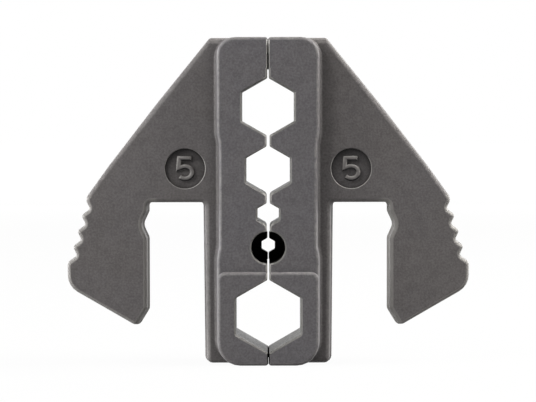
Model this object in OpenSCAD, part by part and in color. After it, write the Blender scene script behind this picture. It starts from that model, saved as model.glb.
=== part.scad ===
// Crimp die insert for coaxial connectors: two mirror-image die halves that meet on an
// upright parting plane. Each half is one piece of cast steel: a wing plate with a neck, a
// hooked arm and finger notches, a thick die block, and a thicker boss round the widest nest.
// X is the width with the parting plane at 0, Z is up, and the front faces -Y.

/* [Wing plate] */
// Height of the die, from the foot to the nose
die_h = 42.4; // [41:0.1:46]
// Width of one half, from the parting plane to the finger lobe
half_w = 26.2; // [25.8:0.1:28]
// Width of the flat nose of one half
nose_w = 7.6; // [7:0.1:9]
// Thickness of the wing plate
plate_t = 3.2; // [2.4:0.1:5]
// Distance of the shoulder corner from the parting plane
shoulder_w = 23.9; // [23:0.1:24.2]
// Height of the shoulder corner
shoulder_h = 21.45; // [21:0.05:22.5]
// Radius at the outer corner of the nose
nose_r = 0.5; // [0.2:0.1:2]
// Radius of the shoulder
shoulder_r = 1; // [0.5:0.1:2]
// How far the long slope from the nose to the shoulder bows outwards
slope_bow = 0.22; // [0:0.02:0.4]

/* [Finger notches] */
// Number of notches down the outer edge
notch_count = 4; // [2:1:4]
// Height from one notch to the next
notch_pitch = 2.02; // [1.7:0.01:2.1]
// How far each notch lies outside the one above it
notch_lean = 0.57; // [0.4:0.01:0.6]
// How far the first notch lies inside the shoulder corner
notch_in = 0.67; // [0.4:0.01:0.8]
// How far the first notch lies below the shoulder corner
notch_drop = 1.31; // [1.1:0.01:1.5]
// Width of the ledge that runs outwards below each notch
ledge_w = 1.17; // [0.9:0.01:1.25]
// Fall of that ledge
ledge_fall = 0.82; // [0.6:0.01:0.9]
// Radius at the root of a notch
notch_r = 0.45; // [0.2:0.05:0.6]
// Radius at the tip between two notches
tip_r = 0.5; // [0.2:0.05:0.6]

/* [Arm and lobe] */
// Height of the corner at the arm's lower end
arm_tip_h = 4.7; // [3:0.05:6]
// Distance of that corner from the arm's inner edge
arm_tip_in = 1.47; // [1:0.01:2.5]
// Height at which the arm's inner edge ends
heel_h = 7.1; // [6:0.1:9]
// Angle of the arm's lower edge above the level
under_slope = 30; // [24:1:34]
// Radius at the bottom of the lobe
lobe_r = 2.6; // [1:0.1:3]
// Radius at the top of the lobe
lobe_top_r = 0.7; // [0.2:0.1:1.2]
// Radius of the arm's lower end
arm_tip_r = 0.75; // [0.3:0.05:1]
// Radius of the heel
heel_r = 0.9; // [0.2:0.1:1.5]

/* [Neck and slot] */
// Width of one half at the top of the neck, from the parting plane
neck_w = 8.45; // [8:0.05:9]
// How much narrower the neck is at its foot
neck_taper = 0.2; // [0:0.02:0.4]
// Width of the slot between the neck and the arm
slot_w = 7.05; // [6.5:0.05:7.6]
// Height of the slot's closed end
slot_h = 21; // [20.5:0.1:21.5]
// Radius of the slot's inner corners
slot_r = 0.4; // [0.1:0.05:0.8]
// Radius at the foot of the neck
foot_r = 0.85; // [0.3:0.05:1.5]
// Height of the detent notch in the arm's inner edge
detent_h = 18.15; // [17:0.05:19]
// Length of the detent notch
detent_l = 3.4; // [2.8:0.1:4]
// Depth of the detent notch at the corner that its radius rounds off
detent_depth = 0.78; // [0.4:0.02:1]
// Radius at the bottom of the detent notch
detent_r = 1.2; // [0.8:0.1:1.6]
// Radius at the upper end of the detent notch
detent_top_r = 0.4; // [0.2:0.1:0.8]
// Radius at the lower end of the detent notch
detent_low_r = 0.8; // [0.2:0.1:1.2]

/* [Die block] */
// Width of the block in one half, from the parting plane
block_w = 6.72; // [6.2:0.02:7.2]
// Thickness of the block
block_t = 8.0; // [6.5:0.1:9]
// Radius at the block's top outer corner
block_r = 2.4; // [0.5:0.1:3]
// How much narrower the block is along its waist
waist_in = 0.26; // [0.1:0.02:0.6]
// Height of the waist's lower end
waist_low = 14.6; // [13.5:0.1:17]
// Height of the waist's upper end
waist_high = 29.3; // [26:0.1:33]
// Height that the block takes to reach its waist
waist_run = 1.4; // [0.8:0.1:2]
// Radius at the corners of the waist
waist_r = 1; // [0.4:0.1:1.5]

/* [Boss] */
// Height of the boss
boss_h = 12.1; // [11.6:0.05:12.6]
// Width of the boss in one half, from the parting plane
boss_w = 6.7; // [6.4:0.02:7.4]
// Thickness of the boss
boss_t = 9.8; // [8.8:0.1:12]
// Radius at the boss's top outer corner
boss_top_r = 1.1; // [0.3:0.05:1.5]
// Radius at the boss's bottom outer corner
boss_foot_r = 3; // [0.5:0.1:3.4]

/* [Nests] */
// Width across the flats of the widest nest, in the boss
nest_e_across = 8.1; // [7:0.01:8.5]
// Height of its centre
nest_e_h = 6.4; // [6:0.05:6.6]
// Width across the flats of the narrowest nest, in the counterbore
nest_d_across = 1.73; // [1.2:0.01:2.2]
// Height of its centre
nest_d_h = 15.22; // [14.8:0.02:15.5]
// Width across the flats of the third nest
nest_c_across = 2.5; // [1.8:0.01:3]
// Height of its centre
nest_c_h = 19.55; // [19.3:0.05:20]
// Width across the flats of the second nest
nest_b_across = 5.41; // [4.5:0.01:5.8]
// Height of its centre
nest_b_h = 25.2; // [25:0.02:25.5]
// Width across the flats of the top nest
nest_a_across = 6.48; // [5.5:0.01:6.6]
// Height of its centre
nest_a_h = 33.4; // [33:0.05:33.8]
// Distance of each nest's middle from the parting plane, in each half
nest_shift = 0.15; // [0:0.01:0.25]
// The same distance for the narrowest nest
nest_d_shift = 0; // [0:0.01:0.1]
// Radius in the corners of the nests
nest_r = 0.16; // [0.05:0.01:0.3]
// Radius where a nest meets the parting gap
land_r = 0.25; // [0.05:0.01:0.3]
// Radius where the lower walls of the second and third nests meet it
land_low_r = 0.55; // [0.05:0.01:0.6]

/* [Parting gap] */
// Gap in each half between the top nest and the counterbore
gap_wide = 0.2; // [0.1:0.01:0.3]
// Gap in each half above the top nest and on the land above the narrowest nest
gap_upper = 0.1; // [0.05:0.01:0.15]
// Gap in each half between the counterbore and the widest nest
gap_low = 0.12; // [0.08:0.01:0.2]
// Gap in each half on the land below the narrowest nest
gap_fine = 0.05; // [0.02:0.01:0.08]
// Height of the upper pad, where the two halves touch
upper_pad = 4.0; // [3.5:0.1:4.4]
// Height of the slit in front of the upper pad
slit_h = 2.1; // [1:0.1:2.6]
// Depth of the slit in each half
slit_in = 0.1; // [0.05:0.01:0.2]
// Length of the slit, from the front face of the block
slit_l = 6; // [3:0.1:6]
// Depth of the slit in each half in front of the lower pad
low_slit_in = 0.09; // [0.05:0.01:0.12]
// Length of that slit, from the front face of the boss
low_slit_l = 6.9; // [3:0.1:7.5]
// Height of its lower end
low_slit_h = 0.35; // [0.2:0.05:0.8]
// Radius at the pads' outer ends
pad_r = 0.45; // [0.1:0.05:0.8]

/* [Counterbore] */
// Diameter of the counterbore round the narrowest nest
counterbore_d = 4.1; // [3.4:0.02:4.3]
// Thickness of the land left at the back of the counterbore
land_t = 1.8; // [1:0.1:3]
// How far the parting gap's steps lie inside the counterbore
step_in = 0.25; // [0.1:0.05:0.5]
// Bevel at the counterbore's mouth
counterbore_bevel = 0.2; // [0.05:0.01:0.3]

/* [Number recess] */
// Diameter of the round recess for the die's number
recess_d = 5.2; // [4:0.1:6]
// Depth of the recess
recess_depth = 0.55; // [0.2:0.05:0.8]
// Bevel round the recess
recess_bevel = 0.1; // [0.05:0.01:0.2]
// Distance of the recess from the parting plane
recess_x = 10.8; // [10.4:0.1:12]
// Height of the recess
recess_h = 25.4; // [24.5:0.1:27]

/* [Edges] */
// Draft of the cast sides, from the middle of the plate to each face
draft = 2; // [0.5:0.5:3]
// Depth of the rounding on the wing's edges
wing_round = 0.6; // [0.3:0.05:0.8]
// Radius on the edges of the block and the boss
block_round = 0.4; // [0.1:0.02:0.46]
// Radius where the block and the boss rise from the plate
root_fillet = 0.45; // [0.2:0.05:0.8]
// Width of the mould seam along the wing's edge
seam_t = 0.3; // [0.1:0.05:0.5]
// Bevel on the rims of the nests and the parting gap
rim_bevel = 0.22; // [0.05:0.01:0.24]
// Width of the rounded strip along the nose
nose_strip = 0.85; // [0.3:0.05:1]
// Width of the rounded strip along the long slope
slope_strip = 0.6; // [0.2:0.05:0.9]
// Width of the rounded strip along the notches and the lobe
notch_strip = 0.5; // [0.2:0.05:0.55]
// Width of the rounded strip along the arm's lower edge
under_strip = 0.45; // [0.2:0.05:0.9]
// Width of the rounded strip along the slot and the foot
slot_strip = 0.6; // [0.2:0.05:0.9]
// How far the mould seam stands out along the slot
slot_seam = 0.2; // [0:0.02:0.3]

/* [Hidden] */
steel = [0.38, 0.38, 0.37];
$fn = 64;
// Turn of one step round a corner in degrees, on small and on large radii
fine_step = 27;
arc_step = 15;
large_r = 1;
// Smallest radius that a corner keeps on the faces
least_r = 0.04;
// Share of a straight edge that the roundings at its two ends may take together
edge_share = 0.96;
// How far cutting tools reach past what they cut, and the same for the rim's bevels
past = 1;
rim_past = 0.04;
// Rise of the cut beside the pads' rounded ends, so that it leaves the flat top and foot
lift = 0.02;
// How far the plate's foot and nose lie inside the block's
plate_inset = 0.02;
// Where the plate ends inside the block
plate_root = 4.9;
// Where the block ends inside the boss
block_foot = 0.5 * boss_h;
arm_x = neck_w + slot_w;
arm_tip_x = arm_x + arm_tip_in;
lobe_low = arm_tip_h + (half_w - arm_tip_x) * tan(under_slope);
ledge_slope = ledge_fall / ledge_w;
// The long slope's bends: how far each lies down the slope, and its part of the bow
slope_bends = [[0.8, 0.86], [0.42, 1]];
// Stations of the roundings, in degrees round a quarter circle
quarter = [45, 90];

function unit(v) = v / norm(v);
function left_of(v) = [-v[1], v[0]];
function turned(v, a) = [v[0] * cos(a) - v[1] * sin(a), v[0] * sin(a) + v[1] * cos(a)];
function turn_between(a, b) = atan2(a[0] * b[1] - a[1] * b[0], a * b);

// A corner moved inwards so that its two sides move by a and b
function moved_corner(p, n, m, a, b) =
    p + [a * m[1] - b * n[1], b * n[0] - a * m[0]] / (n[0] * m[1] - n[1] * m[0]);

// Points of one rounded corner between the directions from and to
function corner_arc(p, from, to, r, steps) =
    let(turn = turn_between(from, to),
        start = p - from * r * tan(abs(turn) / 2),
        middle = start + left_of(from) * sign(turn) * r)
    [for (j = [0:steps]) middle + turned(start - middle, turn * j / steps)];

// Outline through corners [x, z, radius], with side i moved inwards by inset[i]
function outline(corners, inset) =
    let(n = len(corners),
        at = [for (c = corners) [c[0], c[1]]],
        way = [for (i = [0:n - 1]) unit(at[(i + 1) % n] - at[i])],
        set = [for (i = [0:n - 1]) let(p = (i + n - 1) % n)
            moved_corner(at[i], left_of(way[p]), left_of(way[i]), inset[p], inset[i])],
        side = [for (i = [0:n - 1]) norm(set[(i + 1) % n] - set[i])],
        turn = [for (i = [0:n - 1]) turn_between(way[(i + n - 1) % n], way[i])],
        wish = [for (i = [0:n - 1]) let(mean = (inset[(i + n - 1) % n] + inset[i]) / 2)
            corners[i][2] == 0 ? 0 : max(corners[i][2] - sign(turn[i]) * mean, least_r)],
        reach = [for (i = [0:n - 1]) wish[i] * tan(abs(turn[i]) / 2)])
    [for (i = [0:n - 1])
        let(p = (i + n - 1) % n,
            room = min(side[p] / (reach[p] + reach[i]),
                       side[i] / (reach[i] + reach[(i + 1) % n])),
            r = wish[i] * min(1, edge_share * room))
        each corners[i][2] == 0 ? [set[i]]
            : corner_arc(set[i], way[p], way[i], r,
                         ceil(abs(turn[i]) / (corners[i][2] < large_r ? fine_step : arc_step)))];

function plain(corners) = [for (c = corners) 0];

// Twice the area of a triangle, positive against the clock
function area_of(a, b, c) = (b[0] - a[0]) * (c[1] - a[1]) - (b[1] - a[1]) * (c[0] - a[0]);
function covers(a, b, c, q) =
    area_of(a, b, q) > 0 && area_of(b, c, q) > 0 && area_of(c, a, q) > 0;

// The corner at place i of the list left, with its neighbours
function triple(left, i) =
    let(n = len(left)) [left[(i + n - 1) % n], left[i], left[(i + 1) % n]];
function can_cut(p, t, left) =
    area_of(p[t[0]], p[t[1]], p[t[2]]) > 0
    && len([for (k = left) if (covers(p[t[0]], p[t[1]], p[t[2]], p[k])) k]) == 0;
function next_cut(p, left, i = 0) =
    i >= len(left) || can_cut(p, triple(left, i), left) ? i % len(left)
        : next_cut(p, left, i + 1);

// Triangles that fill the outline p, made by cutting off one corner at a time
function fill(p, left) = len(left) < 3 ? [] :
    let(i = next_cut(p, left))
    concat([triple(left, i)], fill(p, [for (k = [0:len(left) - 1]) if (k != i) left[k]]));

// Solid through outlines of equal length at the depths in y, front to back
module loft(outlines, y) {
    n = len(outlines[0]);
    last = len(outlines) - 1;
    points = [for (k = [0:last]) for (p = outlines[k]) [p[0], y[k], p[1]]];
    sides = [for (k = [0:last - 1]) for (i = [0:n - 1])
        let(j = (i + 1) % n, a = k * n, b = a + n)
        each [[a + i, a + j, b + j], [a + i, b + j, b + i]]];
    all = [for (i = [0:n - 1]) i];
    front = [for (t = fill(outlines[0], all)) [t[2], t[1], t[0]]];
    back = [for (t = fill(outlines[last], all)) [for (k = t) k + last * n]];
    polyhedron(points, concat(front, sides, back));
}

// Solid with the same outlines on both sides of the plate's middle. Each station is
// [depth, draft, rounding, flare, seam], and each side of the outline has a factor for
// the last four.
module twin_loft(corners, factors, stations) {
    last = len(stations) - 1;
    both = concat([for (k = [last:-1:0]) if (stations[k][0] > 0) [-1, stations[k]]],
                  [for (s = stations) [1, s]]);
    function inset(s) = [for (f = factors)
        s[1] * f[0] + s[2] * f[1] - s[3] * f[2] + s[4] * f[3]];
    loft([for (b = both) outline(corners, inset(b[1]))], [for (b = both) b[0] * b[1][0]]);
}

// Prism through the whole die with its outline in the XZ plane
module prism(points, depth) {
    rotate([90, 0, 0]) linear_extrude(height = depth, center = true) polygon(points);
}

// Finger notches from the lowest root up, with the tips between them
function notch_root(i) = [shoulder_w - notch_in + i * notch_lean,
                          shoulder_h - notch_drop - i * notch_pitch];
notch_edge = [for (i = [notch_count - 1:-1:0])
    let(root = notch_root(i), tip = notch_root(i - 1) + [ledge_w, -ledge_fall])
    each i > 0
        ? [[root[0], root[1], notch_r], [tip[0], tip[1], tip_r]]
        : [[root[0], root[1], notch_r]]];
lobe_top = notch_root(notch_count - 1)[1]
    - (half_w - notch_root(notch_count - 1)[0]) * ledge_slope;

// The long slope's bends, from the shoulder up
slope_edge = let(nose = [nose_w, die_h - plate_inset], fall = [shoulder_w, shoulder_h] - nose)
    [for (b = slope_bends) let(p = nose + b[0] * fall + b[1] * slope_bow * left_of(unit(fall)))
        [p[0], p[1], 0]];

// Outline of the wing plate, against the clock from the foot
wing_corners = concat([
    [plate_root, plate_inset, 0],
    [neck_w - neck_taper, plate_inset, foot_r],
    [neck_w, slot_h, slot_r],
    [arm_x, slot_h, slot_r],
    [arm_x, detent_h + detent_l / 2, detent_top_r],
    [arm_x + detent_depth, detent_h, detent_r],
    [arm_x, detent_h - detent_l / 2, detent_low_r],
    [arm_x, heel_h, heel_r],
    [arm_tip_x, arm_tip_h, arm_tip_r],
    [half_w, lobe_low, lobe_r],
    [half_w, lobe_top, lobe_top_r]],
    notch_edge, [
    [shoulder_w, shoulder_h, shoulder_r]],
    slope_edge, [
    [nose_w, die_h - plate_inset, nose_r],
    [plate_root, die_h - plate_inset, 0]]);
// Draft, rounding, flare and seam along each side of the wing. The slot's closed end,
// which the tool's jaw bears on, is flat.
wing_factors = concat(
    [[0, slot_strip, 0, 0], [1, slot_strip, 0, slot_seam], [0, slot_strip, 0, 0]],
    [for (i = [0:4]) [1, slot_strip, 0, slot_seam]],
    [[1, under_strip, 0, 0], [1, notch_strip, 0, 0], [1, notch_strip, 0, 0]],
    [for (c = notch_edge) [1, notch_strip, 0, 0]],
    [for (i = [0:len(slope_edge)]) [1, slope_strip, 0, 0]],
    [[1, nose_strip, 0, 0], [0, 0, 0, 0]]);

module wing() {
    straight = plate_t / 2 - wing_round;
    twin_loft(wing_corners, wing_factors, concat([
        [0, 0, 0, 0, 0],
        [seam_t / 2, 0, 0, 0, 1],
        [straight, straight * tan(draft), 0, 0, 1]],
        [for (q = quarter) [straight + wing_round * sin(q), straight * tan(draft),
                            1 - cos(q), 0, 1]]));
}

// Stations of a thick pad: root fillet on the plate, drafted side and rounded edge
function pad_stations(half_t) = concat(
    [[plate_t / 2 - plate_inset, 0, 0, root_fillet, 0]],
    [for (q = quarter) [plate_t / 2 + root_fillet * (1 - cos(q)), 0, 0,
                        root_fillet * (1 - sin(q)), 0]],
    [for (q = concat([0], quarter)) [half_t - block_round + block_round * sin(q),
        (half_t - block_round) * tan(draft), block_round * (1 - cos(q)), 0, 0]]);

block_side = [1, 1, 1, 0];
flat_side = [0, 1, 0, 0];

module block() {
    waist_w = block_w - waist_in;
    twin_loft([
        [-past, block_foot, 0],
        [block_w, block_foot, 0],
        [block_w, waist_low - waist_run / 2, waist_r],
        [waist_w, waist_low + waist_run / 2, waist_r],
        [waist_w, waist_high - waist_run / 2, waist_r],
        [block_w, waist_high + waist_run / 2, waist_r],
        [block_w, die_h, block_r],
        [-past, die_h, 0]],
        concat([flat_side], [for (i = [0:4]) block_side], [flat_side, flat_side]),
        pad_stations(block_t / 2));
}

module boss() {
    twin_loft([
        [-past, 0, 0],
        [boss_w, 0, boss_foot_r],
        [boss_w, boss_h, boss_top_r],
        [-past, boss_h, 0]],
        [flat_side, block_side, flat_side, flat_side],
        pad_stations(boss_t / 2));
}

// Corners of one half nest, from the bottom up, between the gaps below and above it
function nest(across, h, below, above, low_r = land_r, shift = nest_shift) =
    let(half = across / 2, point = half / cos(30), slope = tan(30))
    [[below, h - point + (below - shift) * slope, low_r],
     [shift + half, h - half * slope, nest_r],
     [shift + half, h + half * slope, nest_r],
     [above, h + point - (above - shift) * slope, land_r]];

// The parting face of one half, from the bottom up: first in the boss, then in the block
function step_up(h, from, to) = [[from, h - abs(to - from), 0], [to, h, 0]];
low_face = concat(
    [[-past, -past, 0], [past, -past, 0], [past, -lift, 0], [0, 0, pad_r]],
    nest(nest_e_across, nest_e_h, 0, gap_low));
bore_r = counterbore_d / 2;
high_face = concat(
    step_up(nest_d_h - bore_r + step_in, gap_low, gap_fine),
    nest(nest_d_across, nest_d_h, gap_fine, gap_upper, land_r, nest_d_shift),
    step_up(nest_d_h + bore_r - step_in, gap_upper, gap_wide),
    nest(nest_c_across, nest_c_h, gap_wide, gap_wide, land_low_r),
    nest(nest_b_across, nest_b_h, gap_wide, gap_wide, land_low_r),
    nest(nest_a_across, nest_a_h, gap_wide, gap_upper),
    step_up(die_h - upper_pad, gap_upper, 0),
    [[0, die_h, pad_r], [past, die_h + lift, 0], [past, die_h + past, 0],
     [-past, die_h + past, 0]]);

// Blind slit from the front face at the depth half_t, between the heights low and high
module slit(depth, length, half_t, low, high) {
    translate([-past, -half_t - past, low])
        cube([past + depth, past + length, high - low]);
}

module parting_cut() {
    points = concat(low_face, high_face);
    prism(outline(points, plain(points)), boss_t + 2 * past);
    slit_low = die_h - upper_pad - slit_in;
    slit(slit_in, slit_l, block_t / 2, slit_low, slit_low + slit_h);
    slit(low_slit_in, low_slit_l, boss_t / 2, low_slit_h, nest_e_h);
}

// Whether a side of the parting outline lies on this half, and doesn't just close the
// outline past it
function on_half(a, b) =
    min(a[0], b[0]) >= 0 && min(a[1], b[1]) >= 0 && max(a[1], b[1]) <= die_h;

// Bevel where the parting face meets the front face at the depth half_t
module rim_cut(corners, half_t) {
    n = len(corners);
    sides = [for (i = [0:n - 1]) on_half(corners[i], corners[(i + 1) % n]) ? 1 : 0];
    loft([for (a = [-rim_bevel - rim_past, rim_past]) outline(corners, a * sides)],
         [-half_t - rim_past, -half_t + rim_bevel + rim_past]);
}

module front_rim_cuts() {
    rim_cut(concat(low_face, [[gap_low, boss_h, 0], [-past, boss_h, 0]]), boss_t / 2);
    rim_cut(concat([[-past, boss_h, 0], [gap_low, boss_h, 0]], high_face), block_t / 2);
}

module counterbore() {
    front = block_t / 2;
    translate([nest_shift, 0, nest_d_h]) rotate([90, 0, 0]) {
        translate([0, 0, land_t - front])
            cylinder(h = block_t - land_t + past, r = bore_r);
        translate([0, 0, front - counterbore_bevel])
            cylinder(h = 2 * counterbore_bevel, r1 = bore_r,
                     r2 = bore_r + 2 * counterbore_bevel);
    }
}

module number_recess() {
    front = plate_t / 2;
    translate([recess_x, 0, recess_h]) rotate([90, 0, 0]) {
        translate([0, 0, front - recess_depth])
            cylinder(h = recess_depth + past, d = recess_d);
        translate([0, 0, front - recess_bevel])
            cylinder(h = 2 * recess_bevel, d1 = recess_d, d2 = recess_d + 4 * recess_bevel);
    }
}

module right_half() {
    difference() {
        wing();
        number_recess();
    }
    difference() {
        union() {
            block();
            boss();
        }
        parting_cut();
        front_rim_cuts();
        mirror([0, 1, 0]) front_rim_cuts();
        counterbore();
    }
}

module right_die_half() { color(steel) right_half(); }

module left_die_half() { color(steel) mirror([1, 0, 0]) right_half(); }

left_die_half();
right_die_half();
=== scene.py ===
# Crimp die insert: two cast steel die halves that meet on an upright parting plane.
# Lengths are millimetres, which MM turns into Blender's metres. X is the width with the
# parting plane at 0, Z is up, and the front faces -Y, as in the frame.
import math

import bpy
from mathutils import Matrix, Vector


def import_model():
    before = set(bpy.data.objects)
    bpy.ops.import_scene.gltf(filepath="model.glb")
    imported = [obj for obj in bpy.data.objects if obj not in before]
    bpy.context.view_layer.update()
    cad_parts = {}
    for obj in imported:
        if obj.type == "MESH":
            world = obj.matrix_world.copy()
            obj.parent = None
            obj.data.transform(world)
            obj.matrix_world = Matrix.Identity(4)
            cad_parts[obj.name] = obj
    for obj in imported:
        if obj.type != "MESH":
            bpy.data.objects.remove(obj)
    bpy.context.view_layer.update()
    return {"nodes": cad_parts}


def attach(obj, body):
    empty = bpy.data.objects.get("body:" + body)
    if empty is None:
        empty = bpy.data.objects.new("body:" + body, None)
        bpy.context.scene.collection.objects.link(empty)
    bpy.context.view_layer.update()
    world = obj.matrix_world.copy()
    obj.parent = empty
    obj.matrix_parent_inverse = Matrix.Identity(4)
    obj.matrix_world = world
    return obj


MM = 0.001

# Camera: the photograph looks along +Y and a little down from about 300 mm away
CAMERA_AT = (-0.005, -300.0, 32.8)
CAMERA_PITCH = 2.232
CAMERA_ROLL = 0.09
LENS = 154.25
SENSOR_W = 36
CLIP_START = 10

# Number recess in each wing, and the digit on its floor
RECESS_X = 10.8
RECESS_Z = 25.4
RECESS_R = 2.6
RECESS_FLOOR_Y = -1.05
DIGIT_H = 2.65
DIGIT_W = 1.85
STROKE_W = 0.6
DIGIT_RISE = 0.5
DIGIT_BEVEL = 0.22

# Centreline of the 5: three points in shares of its half width and half height, then the
# bowl, whose radius is a share of the height and whose angles are degrees
FIVE_TOP = ((0.9, 1), (-0.82, 1), (-0.95, 0.02))
BOWL_SHARE = 0.3
BOWL_FROM = 115
BOWL_TO = -140
BOWL_STEP = 15

# Places on the halves that the steel's finish and its painted light and shade depend on. A depth
# is measured from the middle of the thickness to the front and to the back, a side from the
# parting plane.
PLATE_DEPTH = 1.6
PLATE_RIM_DEPTH = 1.7
FILLET_DEPTH = 2.1
BLOCK_FOOT_DEPTH = 3.2
BLOCK_DEPTH = 4.0
SEAM_DEPTH = 0.16
ARM_SIDE = 15.0
ARM_TOP_Z = 21.5
NEST_SIDE = 4.4
# Side and height within which the bevels get a painted highlight, and the height of the gap's
# mouth
SHEEN_SIDE = 0.5
SHEEN_Z = 5.0
MOUTH_Z = 41.9
CREASE_SIDE = 0.16
CREASE_LOW_Z = 0.4
CREASE_HIGH_Z = 1.5
COUNTERBORE_SIDE = 0.15
COUNTERBORE_Z = 15.22
COUNTERBORE_R = 2.05
COUNTERBORE_FLOOR_Y = 2.2

# The bevels on the rims face the front or back by this much, which is 45 degrees
BEVEL_FACING = math.cos(math.radians(45))

# Shading: points this near are joined, facets that meet within FLAT_ANGLE degrees are merged,
# and edges are smooth up to SMOOTH_ANGLE, or beside a bevel up to BEVEL_SMOOTH_ANGLE
DOUBLED_POINTS = 0.002
FLAT_ANGLE = 0.5
SMOOTH_ANGLE = 50
BEVEL_SMOOTH_ANGLE = 35

# Widths of the features in the steel, the height of its bump, and how far a corner's painted shade
# reaches
GRAIN = 0.27
FINE_GRAIN = 0.1
MOTTLE = 1.2
BLOTCHES = 9.0
WORN_PATCHES = 0.8
LONG_STREAKS = 0.25
CROSS_STREAKS = 0.16
BUMP_H = 0.03
CORNER_REACH = 2.0

# Shares of cooler steel: on block and boss, and added in the blotches
BLOCK_COOL = 0.75
BLOTCH_COOL = 0.25

# Shares of worn steel with a painted highlight on the cast edges: in general, on the plate's sides
# where they don't face up, and a painted highlight added on the arms, where no patch falls under
# the last share
EDGE_WEAR_AND_SHEEN = 0.45
SIDE_WEAR_AND_SHEEN = 0.25
ARM_SHEEN = 0.65
ARM_SHEEN_FLOOR = 0.7

# Shares of painted shade: in corners, kept off the block's faces, and a painted shadow added high
# in the recesses, whose corners get RECESS_TIMES as much
CORNER_SHADE = 0.64
FACE_UNSHADED = 0.7
RECESS_TOP_SHADE = 0.5
RECESS_TIMES = 1.3

# Floor, and the point that all lamps are turned to
FLOOR_HALF = 2000
MIDDLE = (0, 0, 21)

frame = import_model()


# Node graphs

class Graph:
    """Adds nodes to a tree and links them. An input may be a value or another node's output."""

    def __init__(self, tree):
        self.tree = tree
        tree.nodes.clear()

    def add(self, kind, out=0, settings=(), **inputs):
        """A new node's output, or the node itself where out is None. i0 is input number 0."""
        made = self.tree.nodes.new(kind)
        for name, value in dict(settings).items():
            setattr(made, name, value)
        for name, value in inputs.items():
            key = int(name[1:]) if name[0] == "i" and name[1:].isdigit() else name
            socket = made.inputs[key]
            if isinstance(value, bpy.types.NodeSocket):
                self.tree.links.new(value, socket)
            else:
                socket.default_value = value
        return made.outputs[out] if out is not None else made

    def math(self, operation, a, b=0.0, clamp=False):
        return self.add("ShaderNodeMath", settings={"operation": operation, "use_clamp": clamp},
                        i0=a, i1=b)

    def near(self, value, target, within):
        """1 where value is that close to target, else 0."""
        return self.add("ShaderNodeMath", settings={"operation": "COMPARE"},
                        i0=value, i1=target, i2=within)

    def product(self, first, *others):
        for other in others:
            first = self.math("MULTIPLY", first, other)
        return first

    def rest(self, share):
        return self.math("SUBTRACT", 1.0, share)

    def level(self, share, none, full):
        """From none to full as share goes from 0 to 1."""
        return self.math("ADD", none, self.product(share, full - none))

    def weigh(self, share, a, b):
        """That share of a, and of b the rest."""
        return self.math("ADD", self.product(a, share), self.product(b, 1 - share))

    def step(self, value, low, high):
        """0 at low and 1 at high, smooth between."""
        return self.add("ShaderNodeMapRange", settings={"interpolation_type": "SMOOTHSTEP"},
                        Value=value, **{"From Min": low, "From Max": high})

    def above(self, value, start, soft):
        """1 from start up, fading to 0 within soft under it, both in millimetres."""
        return self.step(value, (start - soft) * MM, start * MM)

    def below(self, value, start, soft):
        """1 from start down, fading to 0 within soft over it, both in millimetres."""
        return self.step(value, (start + soft) * MM, start * MM)

    def mix(self, share, a, b):
        return self.add("ShaderNodeMix", out=2, settings={"data_type": "RGBA"},
                        i0=share, i6=a, i7=b)

    def noise(self, at, feature, detail=3.0, rough=0.6):
        """Noise with features about that many millimetres wide."""
        return self.add("ShaderNodeTexNoise", Vector=at, Scale=1 / (feature * MM),
                        Detail=detail, Roughness=rough)


def rgb(r, g, b):
    return (r, g, b, 1.0)


def new_material(name):
    made = bpy.data.materials.new(name)
    made.use_nodes = True
    return made, Graph(made.node_tree)


def distance(g, u, v):
    return g.math("SQRT", g.math("ADD", g.product(u, u), g.product(v, v)))


def facings(g):
    """How far the surface faces front or back, and how far it faces up."""
    normal = g.add("ShaderNodeNewGeometry", out="True Normal")
    ways = g.add("ShaderNodeSeparateXYZ", out=None, Vector=normal)
    return g.math("ABSOLUTE", ways.outputs["Y"]), ways.outputs["Z"]


# Colours of the steel. Blasted steel goes from dark to light, cooler on the block.
WARM_STEEL = (rgb(0.090, 0.0835, 0.083), rgb(0.139, 0.130, 0.130))
COOL_STEEL = (rgb(0.0895, 0.085, 0.0905), rgb(0.136, 0.1305, 0.139))
# Worn steel, also used as a painted highlight
WORN_AND_SHEEN = rgb(0.24, 0.232, 0.222)
# Painted highlight on the seam ridge
SEAM_SHEEN = rgb(0.36, 0.352, 0.338)
# Painted highlight on the recess rim
RECESS_RIM_SHEEN = rgb(0.28, 0.272, 0.262)
# Painted shade
PAINTED_SHADE = rgb(0.004, 0.004, 0.004)
# Painted shade under the digits
DIGIT_UNDERSIDE_SHADE = rgb(0.006, 0.006, 0.006)
# Painted shade in the low crease
CREASE_SHADE = rgb(0.02, 0.02, 0.02)
# Painted shade in the counterbore
BORE_SHADE = rgb(0.02, 0.019, 0.018)

# Machined bevels on the left and the right half, the left painted lighter as light and shade:
# plain, with a painted highlight near the parting plane, and a brighter painted highlight at the
# mouth of the gap
BEVELS_LIT_LEFT = (rgb(0.175, 0.171, 0.164), rgb(0.14, 0.137, 0.131))
BEVEL_SHEEN = (rgb(0.34, 0.332, 0.319), rgb(0.25, 0.244, 0.235))
MOUTH_SHEEN = (rgb(0.8, 0.79, 0.77), rgb(0.5, 0.49, 0.475))

# Machined nests, from their dark streaks to their light ones, the left half's painted lighter than
# the right's as light and shade
LIT_LEFT_NESTS = (rgb(0.072, 0.071, 0.069), rgb(0.188, 0.186, 0.182))
SHADED_RIGHT_NESTS = (rgb(0.05, 0.0485, 0.045), rgb(0.136, 0.133, 0.125))


# Steel

class Spot:
    """A point of a half's surface. Facing is 1 to the front or back, and rise is 1 straight up."""

    def __init__(self, g):
        self.at = g.add("ShaderNodeTexCoord", out="Object")
        self.x, self.y, self.z = g.add("ShaderNodeSeparateXYZ", out=None, Vector=self.at).outputs
        self.side = g.math("ABSOLUTE", self.x)
        self.depth = g.math("ABSOLUTE", self.y)
        self.facing, self.rise = facings(g)


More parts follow.
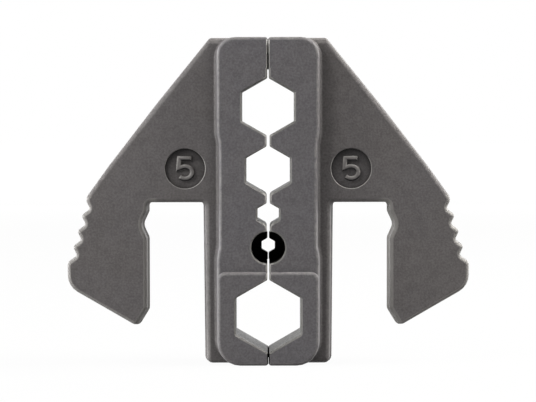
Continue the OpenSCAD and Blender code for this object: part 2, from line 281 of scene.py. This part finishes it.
def blasted(g, at, facing, cool_share):
    """Grainy, a little mottled colour of blasted cast steel, its bump and its roughness."""
    grain = g.noise(at, GRAIN)
    fine = g.noise(at, FINE_GRAIN, detail=2.0)
    mottle = g.noise(at, MOTTLE, rough=0.55)
    shade = g.step(g.weigh(0.7, grain, mottle), 0.3, 0.7)
    skin = g.mix(cool_share, g.mix(shade, *WARM_STEEL), g.mix(shade, *COOL_STEEL))
    strength = g.level(g.step(facing, 0.3, 0.9), 0.35, 0.6)
    bump = g.add("ShaderNodeBump", Strength=strength, Distance=BUMP_H * MM,
                 Height=g.weigh(0.7, grain, fine))
    rough = g.level(grain, 0.5, 0.66)
    return skin, bump, rough


def steel_surface(g, skin, bump, rough):
    return g.add("ShaderNodeBsdfPrincipled", **{
        "Base Color": skin, "Metallic": 0.1, "Roughness": rough, "Normal": bump,
        "Specular IOR Level": 0.2})


def cooler(g, p):
    """Share of cooler steel: most on block and boss, and a little in wide blotches."""
    on_block = g.product(g.above(p.depth, BLOCK_FOOT_DEPTH, 0.8), BLOCK_COOL)
    blotch = g.step(g.noise(p.at, BLOTCHES, detail=2.0, rough=0.5), 0.4, 0.65)
    return g.math("ADD", on_block, g.product(blotch, BLOTCH_COOL), clamp=True)


def worn_and_lit_edges(g, p):
    """Share of worn steel on the cast edges with a painted highlight: less where the plate's sides
    don't face up, more on the arms, none on the fillets at the foot of the block.
    """
    on_arm = g.product(g.above(p.side, ARM_SIDE, 1), g.below(p.z, ARM_TOP_Z, 1))
    turned = g.math("MAXIMUM", g.step(p.facing, 0.12, 0.3),
                    g.product(on_arm, g.step(p.facing, 0.02, 0.1)))
    on_fillet = g.product(g.above(p.depth, PLATE_DEPTH + 0.02, 0.07),
                          g.below(p.depth, FILLET_DEPTH, 0.1))
    on_edge = g.product(turned, g.step(p.facing, 0.995, 0.96), g.rest(on_fillet))
    patches = g.step(g.noise(p.at, WORN_PATCHES), 0.25, 0.75)
    wear_and_sheen = g.math("MAXIMUM", patches, g.product(on_arm, ARM_SHEEN_FLOOR))
    # Painted highlight: less on the plate's sides where they don't face up
    on_side = g.product(g.below(p.depth, PLATE_RIM_DEPTH, 0.1), g.step(p.rise, 0.8, 0.6))
    share = g.level(on_side, EDGE_WEAR_AND_SHEEN, SIDE_WEAR_AND_SHEEN)
    # Painted highlight added on the arms' edges, which the lamps leave in shade
    share = g.math("ADD", share, g.product(on_arm, ARM_SHEEN))
    return g.product(on_edge, wear_and_sheen, share)


def seam_sheen_share(g, p):
    """The mould seam's sharp ridge on the arms' edges, with a painted highlight that stands in for
    reflected light.
    """
    on_ridge = g.product(g.below(p.depth, SEAM_DEPTH, 0.04), g.step(p.facing, 0.7, 0.75))
    return g.product(on_ridge, g.above(p.side, ARM_SIDE - 1, 1))


def on_bevel(g, p):
    """The machined bevels on the rims of the gap and the nests."""
    return g.product(g.near(p.facing, BEVEL_FACING, 0.01),
                     g.below(p.side, NEST_SIDE + 0.4, 0.1),
                     g.above(p.depth, BLOCK_DEPTH - 0.3, 0.1))


def sheened_bevel_steel(g, p, to_right):
    """Machined bevels, the left half's painted lighter than the right's, with a painted highlight
    near the parting plane and a brighter one at the mouth of the gap.
    """
    wear_and_sheen = g.mix(g.above(p.z, MOUTH_Z, 0.7), g.mix(to_right, *BEVEL_SHEEN),
                   g.mix(to_right, *MOUTH_SHEEN))
    bevel_sheen_share = g.product(g.below(p.side, SHEEN_SIDE, 0.3), g.above(p.z, SHEEN_Z, 1))
    return g.mix(bevel_sheen_share, g.mix(to_right, *BEVELS_LIT_LEFT), wear_and_sheen)


def number_recess(g, p):
    """Shares of the recess, of its upper part, which gets a painted shadow, and of its rim, which
    gets a painted highlight where it doesn't face down.
    """
    from_x = g.math("SUBTRACT", p.side, RECESS_X * MM)
    from_z = g.math("SUBTRACT", p.z, RECESS_Z * MM)
    off = distance(g, from_x, from_z)
    inside = g.product(g.below(off, RECESS_R - 0.02, 0.04),
                       g.below(p.depth, PLATE_DEPTH - 0.2, 0.1))
    upper = g.product(inside, g.above(from_z, 2.5, 4))
    rim = g.product(g.above(off, RECESS_R + 0.02, 0.02), g.below(off, RECESS_R + 0.1, 0.04),
                    g.step(p.facing, 0.9, 0.8), g.step(p.rise, -0.5, -0.2))
    return inside, upper, rim


def painted_shade_share(g, p, inside, upper, unshaded):
    """Painted shade where corners and recesses are occluded, but not where the surface faces up,
    and a painted shadow high in each recess.
    """
    clear = g.add("ShaderNodeAmbientOcclusion", out="AO",
                  settings={"samples": 4, "only_local": True}, Distance=CORNER_REACH * MM)
    on_face = g.product(g.above(p.depth, BLOCK_DEPTH - 0.1, 0.1), FACE_UNSHADED)
    shade_share = g.product(g.rest(clear), CORNER_SHADE, g.rest(on_face), g.step(p.rise, 0.5, 0.1),
                     g.rest(unshaded), g.level(inside, 1.0, RECESS_TIMES))
    return g.math("ADD", shade_share, g.product(upper, RECESS_TOP_SHADE), clamp=True)


def shaded_low_crease(g, p):
    """Painted shade in the crease between the lowest pads."""
    return g.product(g.below(p.side, CREASE_SIDE, 0.06), g.below(p.z, CREASE_HIGH_Z, 0.2),
                     g.above(p.z, CREASE_LOW_Z, 0.15))


def in_nest(g, p):
    """The walls of the nests and the gap, which face sideways or up and down at a slant."""
    return g.product(g.below(p.side, NEST_SIDE, 0.1), g.step(p.facing, 0.2, 0.1),
                     g.step(g.math("ABSOLUTE", p.rise), 0.97, 0.93))


def machined(g, at, to_right):
    """Machined steel, with fine streaks along and across the nests, the left half's painted
    lighter than the right's as light and shade.
    """
    along = g.add("ShaderNodeMapping", Vector=at, Scale=(0.6, 0.3, 0.6))
    across = g.add("ShaderNodeMapping", Vector=at, Scale=(0.15, 1.0, 0.15))
    streaks = g.weigh(0.6, g.noise(along, LONG_STREAKS),
                      g.noise(across, CROSS_STREAKS, detail=2.0))
    streaks = g.step(streaks, 0.38, 0.62)
    return g.mix(to_right, g.mix(streaks, *LIT_LEFT_NESTS), g.mix(streaks, *SHADED_RIGHT_NESTS))


def in_counterbore(g, p):
    """The wall and floor of the counterbore, which are painted near black as shade."""
    from_x = g.math("SUBTRACT", p.side, COUNTERBORE_SIDE * MM)
    from_z = g.math("SUBTRACT", p.z, COUNTERBORE_Z * MM)
    return g.product(g.below(distance(g, from_x, from_z), COUNTERBORE_R + 0.02, 0.04),
                     g.above(p.y, 0.8 - BLOCK_DEPTH, 0.6),
                     g.below(p.y, COUNTERBORE_FLOOR_Y + 0.05, 0.05))


def cast_steel():
    """Blasted cast steel, paler on worn edges and bevels with painted highlights, with painted
    shade in corners, the low crease and the counterbore, machined in the nests.
    """
    material, g = new_material("cast_steel")
    p = Spot(g)
    skin, bump, rough = blasted(g, p.at, p.facing, cooler(g, p))
    # Worn edges, partly a painted highlight
    skin = g.mix(worn_and_lit_edges(g, p), skin, WORN_AND_SHEEN)
    # Painted highlight on the arms' seam ridge
    seam = seam_sheen_share(g, p)
    skin = g.mix(seam, skin, SEAM_SHEEN)
    to_right = g.above(p.x, 0.1, 0.2)
    # Machined bevels, the left painted lighter than the right, with painted highlights near the
    # parting plane
    skin = g.mix(on_bevel(g, p), skin, sheened_bevel_steel(g, p, to_right))
    inside, upper, rim = number_recess(g, p)
    # Painted highlight on the recess rim
    skin = g.mix(rim, skin, RECESS_RIM_SHEEN)
    # Painted shade in corners and recesses and a painted shadow high in them, none on the painted
    # highlights
    unshaded = g.math("MAXIMUM", rim, seam)
    skin = g.mix(painted_shade_share(g, p, inside, upper, unshaded), skin, PAINTED_SHADE)
    # Painted shade in the low crease
    skin = g.mix(shaded_low_crease(g, p), skin, CREASE_SHADE)
    # Machined nests, the left half's painted lighter than the right's as light and shade
    skin = g.mix(in_nest(g, p), skin, machined(g, p.at, to_right))
    # The counterbore painted near black, as the shade of the deep bore
    black = g.add("ShaderNodeBsdfDiffuse", Color=BORE_SHADE)
    both = g.add("ShaderNodeMixShader", i0=in_counterbore(g, p),
                 i1=steel_surface(g, skin, bump, rough), i2=black)
    g.add("ShaderNodeOutputMaterial", out=None, Surface=both)
    return material


def number_steel():
    """The same steel on the raised digits, with a painted highlight on their tops and painted
    shade on their undersides.
    """
    material, g = new_material("cast_steel_number")
    at = g.add("ShaderNodeTexCoord", out="Object")
    facing, rise = facings(g)
    skin, bump, rough = blasted(g, at, facing, 0.3)
    # Painted highlight on the digit's upper edges and face
    on_top = g.product(g.step(facing, 0.2, 0.6), g.step(rise, -0.3, 0.0))
    top_sheen = g.level(g.step(facing, 0.995, 0.93), 0.3, 0.9)
    skin = g.mix(g.product(on_top, top_sheen), skin, WORN_AND_SHEEN)
    # Painted shade on the digit's undersides
    skin = g.mix(g.step(rise, -0.1, -0.45), skin, DIGIT_UNDERSIDE_SHADE)
    g.add("ShaderNodeOutputMaterial", out=None, Surface=steel_surface(g, skin, bump, rough))
    return material


# CAD nodes

def smooth_shading():
    """Geometry node group that shades a mesh smooth up to an angle."""
    tree = bpy.data.node_groups.new("smooth_cast_edges", "GeometryNodeTree")
    tree.interface.new_socket("Geometry", in_out="INPUT", socket_type="NodeSocketGeometry")
    tree.interface.new_socket("Geometry", in_out="OUTPUT", socket_type="NodeSocketGeometry")
    g = Graph(tree)
    mesh = g.add("NodeGroupInput")
    mesh = g.add("GeometryNodeSetShadeSmooth", settings={"domain": "FACE"},
                 Geometry=mesh, **{"Shade Smooth": True})
    front = g.add("ShaderNodeSeparateXYZ", out="Y", Vector=g.add("GeometryNodeInputNormal"))
    bevel = g.near(g.math("ABSOLUTE", front), BEVEL_FACING, 0.02)
    bevel = g.add("GeometryNodeFieldOnDomain", settings={"domain": "FACE"}, Value=bevel)
    beside = g.math("GREATER_THAN", bevel, 0.1)
    limit = g.level(beside, math.radians(SMOOTH_ANGLE), math.radians(BEVEL_SMOOTH_ANGLE))
    blunt = g.math("LESS_THAN", g.add("GeometryNodeInputMeshEdgeAngle"), limit)
    mesh = g.add("GeometryNodeSetShadeSmooth", settings={"domain": "EDGE"},
                 Geometry=mesh, **{"Shade Smooth": blunt})
    g.add("NodeGroupOutput", out=None, Geometry=mesh)
    return tree


def finish_halves(steel):
    """The halves keep their shape: doubled points join, flat facets merge, roundings shade."""
    smooth = smooth_shading()
    for half in frame["nodes"].values():
        half.data.materials.clear()
        half.data.materials.append(steel)
        half.modifiers.new("weld", "WELD").merge_threshold = DOUBLED_POINTS * MM
        flats = half.modifiers.new("whole_flats", "DECIMATE")
        flats.decimate_type = "DISSOLVE"
        flats.angle_limit = math.radians(FLAT_ANGLE)
        half.modifiers.new("smooth", "NODES").node_group = smooth
        half.modifiers.new("weighted", "WEIGHTED_NORMAL").keep_sharp = True


def add_object(name, data, at=(0, 0, 0)):
    """A new object in the scene, at a place in millimetres."""
    made = bpy.data.objects.new(name, data)
    made.location = [c * MM for c in at]
    bpy.context.scene.collection.objects.link(made)
    return made


# Raised digits

def five():
    """Centreline of a plain 5, from its top right end to its bottom left end."""
    w, h, r = DIGIT_W / 2, DIGIT_H / 2, DIGIT_H * BOWL_SHARE
    top = [(u * w, v * h) for u, v in FIVE_TOP]
    angles = [math.radians(a) for a in range(BOWL_FROM, BOWL_TO - 1, -BOWL_STEP)]
    return top + [(w * math.cos(a), r - h + r * math.sin(a)) for a in angles]


def stroke(line, width):
    """Closed outline round a centreline, with mitred corners."""
    left, right = [], []
    for i, p in enumerate(line):
        around = line[max(i - 1, 0):i + 2]
        ways = [(b[0] - a[0], b[1] - a[1]) for a, b in zip(around, around[1:])]
        units = [(u / math.hypot(u, v), v / math.hypot(u, v)) for u, v in ways]
        u, v = sum(a for a, _ in units), sum(b for _, b in units)
        length = math.hypot(u, v)
        u, v = u / length, v / length
        reach = width / 2 / (u * units[0][0] + v * units[0][1])
        left.append((p[0] - v * reach, p[1] + u * reach))
        right.append((p[0] + v * reach, p[1] - u * reach))
    return left + right[::-1]


def raised_digit(name, body, x, steel):
    """A cast digit on the floor of the recess at x, with its rear half sunk in the plate."""
    outline = stroke(five(), STROKE_W)
    curve = bpy.data.curves.new(name, "CURVE")
    curve.dimensions = "2D"
    curve.fill_mode = "BOTH"
    curve.extrude = (DIGIT_RISE - DIGIT_BEVEL) * MM
    curve.bevel_depth = DIGIT_BEVEL * MM
    curve.bevel_resolution = 2
    curve.offset = -DIGIT_BEVEL * MM
    line = curve.splines.new("POLY")
    line.points.add(len(outline) - 1)
    for point, (u, v) in zip(line.points, outline):
        point.co = (u * MM, v * MM, 0, 1)
    line.use_cyclic_u = True
    curve.materials.append(steel)
    digit = add_object(name, curve, (x, RECESS_FLOOR_Y, RECESS_Z))
    digit.rotation_euler = (math.pi / 2, 0, 0)
    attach(digit, body)


# Studio

def white_in_view(g, seen):
    """Share of a ray that sees plain white: camera, glossy and transmission rays."""
    path = g.add("ShaderNodeLightPath", out=None)
    share = g.math("MAXIMUM", path.outputs["Is Camera Ray"], path.outputs["Is Glossy Ray"])
    share = g.math("MAXIMUM", share, path.outputs["Is Transmission Ray"])
    return g.product(share, seen)


def floor():
    """A white floor that keeps the shadow, a little brighter far off."""
    material, g = new_material("floor_white")
    plain = g.add("ShaderNodeBsdfDiffuse", Color=rgb(0.2, 0.2, 0.2))
    at = g.add("ShaderNodeSeparateXYZ", out=None,
               Vector=g.add("ShaderNodeTexCoord", out="Object"))
    far = g.above(distance(g, at.outputs["X"], at.outputs["Y"]), 700, 400)
    white = g.add("ShaderNodeEmission", Color=rgb(1, 1, 1), Strength=g.level(far, 1.06, 1.12))
    both = g.add("ShaderNodeMixShader", i0=white_in_view(g, 0.9), i1=plain, i2=white)
    g.add("ShaderNodeOutputMaterial", out=None, Surface=both)
    mesh = bpy.data.meshes.new("floor")
    half = FLOOR_HALF * MM
    mesh.from_pydata([(-half, -half, 0), (half, -half, 0), (half, half, 0), (-half, half, 0)],
                     [], [(0, 1, 2, 3)])
    mesh.materials.append(material)
    add_object("floor", mesh)


def world():
    """Faint even light, seen as plain white."""
    made = bpy.data.worlds.new("studio")
    made.use_nodes = True
    bpy.context.scene.world = made
    g = Graph(made.node_tree)
    soft = g.add("ShaderNodeBackground", Color=rgb(1, 1, 1), Strength=0.02)
    white = g.add("ShaderNodeBackground", Color=rgb(1, 1, 1), Strength=1.0)
    both = g.add("ShaderNodeMixShader", i0=white_in_view(g, 1.0), i1=soft, i2=white)
    g.add("ShaderNodeOutputWorld", out=None, Surface=both)


def softbox(name, at, size, power, color=(1, 1, 1)):
    """A soft lamp turned to the middle of the halves."""
    lamp = bpy.data.lights.new(name, "AREA")
    lamp.color = color
    lamp.shape = "RECTANGLE"
    lamp.size, lamp.size_y = size[0] * MM, size[1] * MM
    lamp.energy = power
    away = Vector(at) - Vector(MIDDLE)
    add_object(name, lamp, at).rotation_euler = away.to_track_quat("Z", "Y").to_euler()


def lamps():
    """Each lamp's place, size and watts, and its colour where it isn't white."""
    softbox("overhead_light", (0, -150, 450), (600, 250), 0.72, (1, 0.975, 0.93))
    softbox("high_left_light", (-250, -250, 250), (130, 130), 0.68, (1, 0.99, 0.975))
    softbox("low_left_light", (-360, -150, 40), (200, 60), 0.15)
    softbox("left_light", (-380, -25, 30), (250, 250), 3.45)
    softbox("left_rear_light", (-420, 320, 30), (250, 250), 2.2)
    softbox("right_rear_light", (420, 320, 30), (250, 250), 2.2)
    softbox("high_right_light", (330, 0, 330), (250, 250), 4.5, (1, 0.985, 0.955))
    softbox("back_light", (0, 500, 60), (1600, 700), 4.0)


def camera():
    made = bpy.data.cameras.new("camera")
    made.lens = LENS
    made.sensor_width = SENSOR_W
    made.clip_start = CLIP_START * MM
    eye = add_object("camera", made, CAMERA_AT)
    eye.rotation_euler = (math.radians(90 - CAMERA_PITCH), math.radians(CAMERA_ROLL), 0)
    bpy.context.scene.camera = eye


camera()
world()
lamps()
floor()
finish_halves(cast_steel())
digit_steel = number_steel()
raised_digit("left_number", "left_half", -RECESS_X, digit_steel)
raised_digit("right_number", "right_half", RECESS_X, digit_steel)
bpy.context.scene.view_settings.view_transform = "Standard"

bpy.context.view_layer.update()
